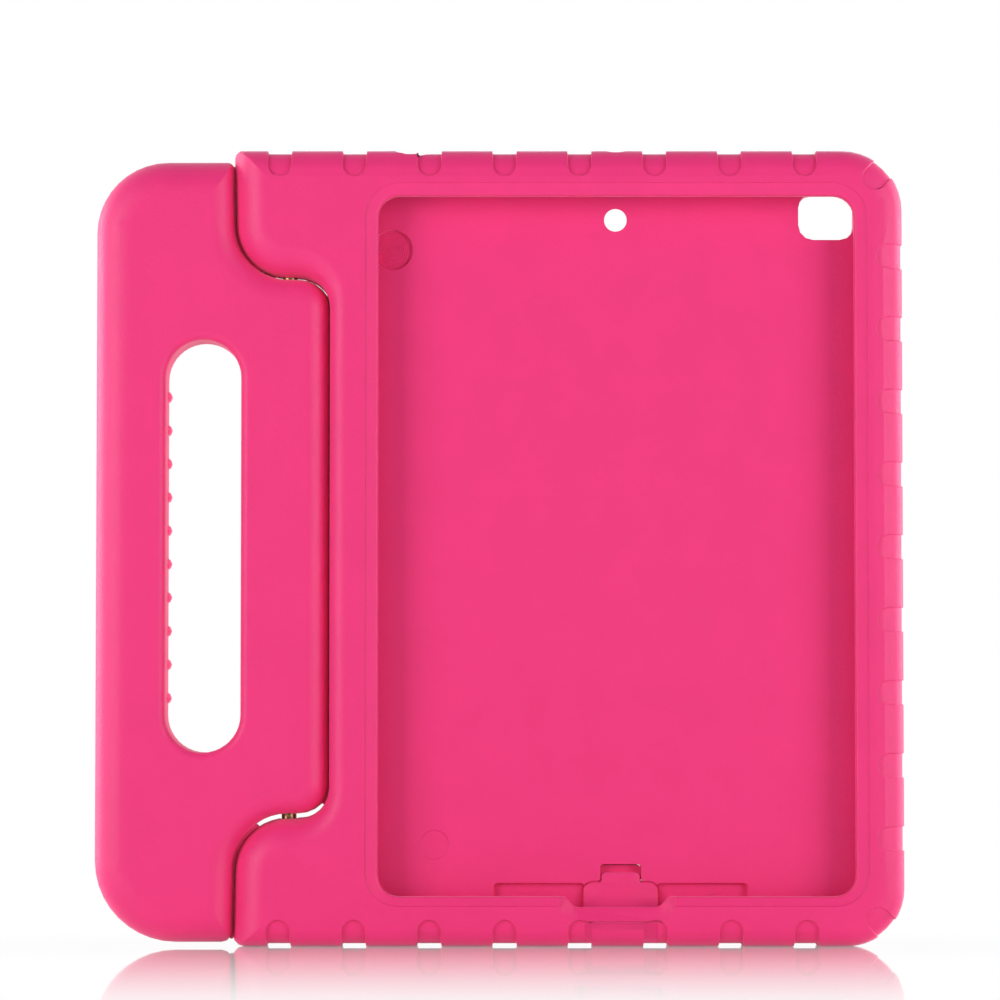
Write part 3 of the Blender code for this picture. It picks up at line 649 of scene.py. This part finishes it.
def nook_fit(gap, edge, sign, first_turn, reach, clearance):
    """Sections of the tray's nook, close round the corner of the knuckle."""
    radius = KNUCKLE_CORNER + clearance
    sections = []
    for degrees in range(first_turn, LAST_NOOK_TURN + 1, NOOK_STEP):
        turn = math.radians(degrees)
        across = KNUCKLE_FLAT + radius * math.sin(turn)
        height = edge + sign * (radius * math.cos(turn) - KNUCKLE_CORNER)
        hollow = [
            (gap.hinge + math.sqrt(across * across - (reach * share) ** 2), reach * share, height)
            for share in SHARES
        ]
        place = gap.hinge + across + NOOK_FIT_DEPTH * math.sin(turn)
        height += sign * NOOK_FIT_DEPTH * math.cos(turn)
        sections.append(hollow + [(place, reach, height), (place, -reach, height)])
    return sections


class TABLETCASE_OT_gaps(bpy.types.Operator):
    """Make the handle fit closely round the two ears"""

    bl_idname = "tablet_case.gaps"
    bl_label = "Hinge gaps"

    def execute(self, context):
        gap = context.scene.tablet_gap
        upper = ear_fit(gap, UPPER_EAR_EDGE, 1, UPPER_FIT_LENGTH, LAST_UPPER_TURN, 0.0)
        lower = ear_fit(gap, gap.height, -1, LOWER_FIT_LENGTH, LAST_UPRIGHT_TURN, LOWER_FIT_SPREAD)
        swept("ear_fit_upper", upper, "handle")
        swept("ear_fit_lower", lower, "handle")
        upper = nook_fit(
            gap, KNUCKLE_TOP, 1, FIRST_UPPER_NOOK_TURN, UPPER_NOOK_REACH, UPPER_NOOK_CLEARANCE,
        )
        lower = nook_fit(
            gap, KNUCKLE_BOTTOM, -1, FIRST_LOWER_NOOK_TURN, gap.reach, gap.clearance,
        )
        swept("nook_fit_upper", upper, "case")
        swept("nook_fit_lower", lower, "case")
        return {"FINISHED"}


class TABLETCASE_OT_slits(bpy.types.Operator):
    """Fill most of the slit round the port flap, and its crease"""

    bl_idname = "tablet_case.slits"
    bl_label = "Flap slits"

    def execute(self, context):
        slit = context.scene.tablet_slit
        for side, place in ((-1, "left"), (1, "right")):
            self.skirt(slit, side, place)
            self.cheek(slit, side, place)
        self.pad(slit)
        self.web(slit)
        return {"FINISHED"}

    def skirt(self, slit, side, place):
        """Thin rim along a side, a shoulder and the tongue of the flap."""
        bend = [
            (
                slit.half - SHOULDER_CORNER * (1 - math.cos(turn)),
                slit.shoulder - SHOULDER_CORNER * (1 - math.sin(turn)),
            )
            for turn in (math.radians(15 * k) for k in range(7))
        ]
        path = [(slit.half, FLAP_SEAT)] + bend + [
            (slit.tongue + TONGUE_ROOT, slit.shoulder),
            (slit.tongue, slit.shoulder + TONGUE_ROOT), (slit.tongue, SKIRT_TOP),
        ]
        front, back = SKIRT_DEPTHS
        sections = []
        for k, (x, z) in enumerate(path):
            before, after = path[max(k - 1, 0)], path[min(k + 1, len(path) - 1)]
            along = Vector((after[0] - before[0], after[1] - before[1])).normalized()
            outward = Vector((along.y, -along.x))
            inner = Vector((x, z)) - outward * SKIRT_INSIDE
            outer = Vector((x, z)) + outward * slit.skirt
            sections.append([
                (slit.middle + side * spot.x, y, spot.y)
                for spot, y in ((inner, front), (outer, front), (outer, back), (inner, back))
            ])
        swept(f"flap_skirt_{place}", sections, "flap")

    def pad(self, slit):
        """Floor of the finger gap over the tongue."""
        wide = slit.tongue + slit.skirt
        half = [(wide, PAD_BOTTOM)] + [(wide - x, PAD_TOP - z) for x, z in PAD_CORNER]
        front = half + [(-x, z) for x, z in reversed(half)]
        sections = [[(slit.middle + x, y, z) for x, z in front] for y in PAD_DEPTHS]
        swept("pull_pad", sections, "flap")

    def cheek(self, slit, side, place):
        """Filling of the slit through the rim, level with the notch that it lies in."""
        curve = []
        for k in range(CHEEK_STEPS + 1):
            turn = math.pi / 2 * k / CHEEK_STEPS
            curve.append((
                RIM_DEEP - HALF_DEPTH - (RIM_DEEP - NOTCH_DROP) * math.cos(turn),
                RIM_ACROSS - (RIM_ACROSS - NOTCH_DROP) * math.sin(turn),
            ))
        back = [(-y, z) for y, z in reversed(curve)]
        loop = [(curve[0][0], slit.crease)] + curve + back + [
            (HALF_DEPTH - NOTCH_DROP, CHEEK_TOP), (CHEEK_FRONT, CHEEK_TOP),
            (CHEEK_FRONT, slit.crease),
        ]
        sections = [
            [(slit.middle + side * (slit.half + x), y, z) for y, z in loop] for x in CHEEK_SIDES
        ]
        swept(f"flap_cheek_{place}", sections, "flap")

    def web(self, slit):
        """Foam that joins the flap to the rim along the crease."""
        low, high = slit.crease + WEB_LOW, slit.crease + WEB_HIGH
        wide = slit.half + WEB_END
        for name, left, right, front in WEB_PARTS:
            ring = [(front, low), (WEB_BACK, low), (WEB_BACK, high), (front, high)]
            ends = (-wide if left is None else left, wide if right is None else right)
            sections = [[(slit.middle + x, y, z) for y, z in ring] for x in ends]
            swept(f"crease_web_{name}", sections, "case")


class TABLETCASE_OT_pins(bpy.types.Operator):
    """Give the two hinge pins their steel"""

    bl_idname = "tablet_case.pins"
    bl_label = "Hinge pins"

    def execute(self, context):
        steel = steel_finish("pin_steel", context.scene.tablet_pins)
        for node in ("hinge_pin_upper", "hinge_pin_lower"):
            dress(node, steel)
        return {"FINISHED"}


class TABLETCASE_OT_dial(bpy.types.Operator):
    """Add the turned disc at the bottom of the round mould mark"""

    bl_idname = "tablet_case.dial"
    bl_label = "Mould dial"

    def execute(self, context):
        dial = context.scene.tablet_dial
        shape = bmesh.new()
        profile = [(0.0, 0.0)]
        for k in range(dial.grooves):
            start = dial.radius * (k + GROOVE_START) / dial.grooves
            end = dial.radius * (k + GROOVE_END) / dial.grooves
            profile += [(start, 0.0), ((start + end) / 2, dial.groove_depth), (end, 0.0)]
        profile.append((dial.radius, 0.0))
        row = [shape.verts.new((r, -depth, 0)) for r, depth in profile]
        line = [shape.edges.new(pair) for pair in zip(row, row[1:])]
        bmesh.ops.spin(
            shape, geom=row + line, cent=(0, 0, 0), axis=(0, 1, 0),
            angle=2 * math.pi, steps=DIAL_STEPS, use_merge=True,
        )
        bmesh.ops.remove_doubles(shape, verts=shape.verts, dist=DIAL_WELD)
        bmesh.ops.recalc_face_normals(shape, faces=shape.faces)
        mesh = bpy.data.meshes.new("mould_dial")
        shape.to_mesh(mesh)
        shape.free()
        disc = bpy.data.objects.new("mould_dial", mesh)
        context.scene.collection.objects.link(disc)
        disc.location = (dial.x, dial.floor - DIAL_LIFT, dial.z)
        disc.data.materials.append(bpy.data.materials["foam_skin"])
        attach(disc, "case")
        return {"FINISHED"}


def build_world(strength):
    """White behind the case in the lens and in its gloss, and dimmer in front."""
    world = bpy.data.worlds.new("studio")
    world.use_nodes = True
    studio = Nodes(world.node_tree)
    camera = studio.node("ShaderNodeLightPath", "Is Camera Ray")
    glossy = studio.node("ShaderNodeLightPath", "Is Glossy Ray")
    towards = studio.node("ShaderNodeTexCoord", "Generated")
    back = studio.node("ShaderNodeSeparateXYZ", "Y", {}, {"Vector": towards})
    gloss = studio.ramp(back, *GLOSS_RAMP)
    light = camera + (1 - camera) * (glossy * gloss + (1 - glossy) * strength)
    surround = studio.tree.nodes["Background"]
    surround.inputs["Color"].default_value = solid(WHITE)
    studio.feed(surround.inputs["Strength"], light)
    bpy.context.scene.world = world


def floor_finish():
    """White acrylic: a mirror close to the case that fades to plain white."""
    finish = Finish("white_acrylic")
    spot = finish.node("ShaderNodeNewGeometry", "Position")
    x = finish.node("ShaderNodeSeparateXYZ", "X", {}, {"Vector": spot})
    y = finish.node("ShaderNodeSeparateXYZ", "Y", {}, {"Vector": spot})
    far_corner = CAD_BOX[1]
    off_x = (x.maths("ABSOLUTE", x) - far_corner.x).at_least(0.0)
    off_y = (y.maths("ABSOLUTE", y) - far_corner.y).at_least(0.0)
    away = (off_x * off_x + off_y * off_y).power(0.5)
    near = finish.ramp(away, *MIRROR_RAMP)
    far = finish.ramp(away, *WHITE_RAMP)
    gloss = finish.node(
        "ShaderNodeBsdfGlossy", "BSDF", {"distribution": "MULTI_GGX"},
        {"Color": solid(WHITE), "Roughness": ACRYLIC_ROUGHNESS},
    )
    fresnel = finish.node("ShaderNodeFresnel", "Fac", {}, {"IOR": ACRYLIC_IOR})
    camera = finish.node("ShaderNodeLightPath", "Is Camera Ray")
    glossy = finish.node("ShaderNodeLightPath", "Is Glossy Ray")
    plain = finish.node("ShaderNodeBsdfDiffuse", "BSDF", {}, {"Color": solid(ACRYLIC)})
    white = finish.node("ShaderNodeEmission", "Emission", {}, {"Strength": 1.0})
    seen = camera.at_least(glossy)
    base = finish.node("ShaderNodeMixShader", "Shader", {}, {0: seen * far, 1: plain, 2: white})
    mirror = finish.node(
        "ShaderNodeMixShader", "Shader", {}, {0: fresnel * near, 1: base, 2: gloss},
    )
    finish.feed(finish.tree.nodes["Material Output"].inputs["Surface"], mirror)
    return finish.material


class TABLETCASE_OT_stage(bpy.types.Operator):
    """Add the floor, the lamps, the white surroundings and the camera"""

    bl_idname = "tablet_case.stage"
    bl_label = "Photo stage"

    def execute(self, context):
        stage = context.scene.tablet_stage
        build_world(stage.ambient)
        mesh = bpy.data.meshes.new("floor")
        corners = ((-1, -1), (1, -1), (1, 1), (-1, 1))
        mesh.from_pydata(
            [(FLOOR_HALF * x, FLOOR_HALF * y, FLOOR_HEIGHT) for x, y in corners],
            [], [(0, 1, 2, 3)],
        )
        floor = bpy.data.objects.new("floor", mesh)
        context.scene.collection.objects.link(floor)
        mesh.materials.append(floor_finish())
        for name, spot, power in LAMPS:
            light = bpy.data.lights.new(name, "AREA")
            light.shape = "RECTANGLE"
            light.size, light.size_y = LAMP_SIZE
            light.energy = getattr(stage, power)
            lamp = bpy.data.objects.new(name, light)
            lamp.location = spot
            lamp.visible_camera = False
            lamp.rotation_euler = (LAMP_AIM - Vector(spot)).to_track_quat("-Z", "Y").to_euler()
            context.scene.collection.objects.link(lamp)
        lens = bpy.data.cameras.new("camera")
        lens.sensor_width = 36.0
        lens.lens = lens.sensor_width * stage.distance / stage.field
        lens.clip_start = 0.05
        camera = bpy.data.objects.new("camera", lens)
        camera.location = (stage.lens_side, CAD_BOX[0].y - stage.distance, stage.lens_height)
        pitch = math.atan((stage.aim_height - stage.lens_height) / stage.distance)
        camera.rotation_euler = (math.pi / 2 + pitch, 0, 0)
        context.scene.collection.objects.link(camera)
        context.scene.camera = camera
        context.scene.view_settings.view_transform = "Standard"
        return {"FINISHED"}


OPERATORS = (
    TABLETCASE_OT_foam,
    TABLETCASE_OT_gaps,
    TABLETCASE_OT_slits,
    TABLETCASE_OT_pins,
    TABLETCASE_OT_dial,
    TABLETCASE_OT_stage,
)
SETTINGS = (
    ("tablet_foam", FoamSettings),
    ("tablet_gap", GapSettings),
    ("tablet_slit", SlitSettings),
    ("tablet_pins", PinSettings),
    ("tablet_dial", DialSettings),
    ("tablet_stage", StageSettings),
)


class TABLETCASE_PT_panel(bpy.types.Panel):
    """Sizes, colours and steps of the tablet case"""

    bl_idname = "TABLETCASE_PT_panel"
    bl_label = "Tablet Case"
    bl_space_type = "VIEW_3D"
    bl_region_type = "UI"
    bl_category = "Tablet Case"

    def draw(self, context):
        layout = self.layout
        for name, kind in SETTINGS:
            box = layout.box()
            box.label(text=kind.__doc__)
            group = getattr(context.scene, name)
            for key in kind.__annotations__:
                box.prop(group, key)
        for operator in OPERATORS:
            layout.operator(operator.bl_idname)


def register():
    for name, kind in SETTINGS:
        bpy.utils.register_class(kind)
        setattr(bpy.types.Scene, name, PointerProperty(type=kind))
    for kind in OPERATORS:
        bpy.utils.register_class(kind)
    bpy.utils.register_class(TABLETCASE_PT_panel)


def unregister():
    bpy.utils.unregister_class(TABLETCASE_PT_panel)
    for kind in reversed(OPERATORS):
        bpy.utils.unregister_class(kind)
    for name, kind in reversed(SETTINGS):
        delattr(bpy.types.Scene, name)
        bpy.utils.unregister_class(kind)


def main():
    register()
    bpy.ops.tablet_case.foam()
    bpy.ops.tablet_case.gaps()
    bpy.ops.tablet_case.slits()
    bpy.ops.tablet_case.pins()
    bpy.ops.tablet_case.dial()
    bpy.ops.tablet_case.stage()


if __name__ == "__main__":
    main()
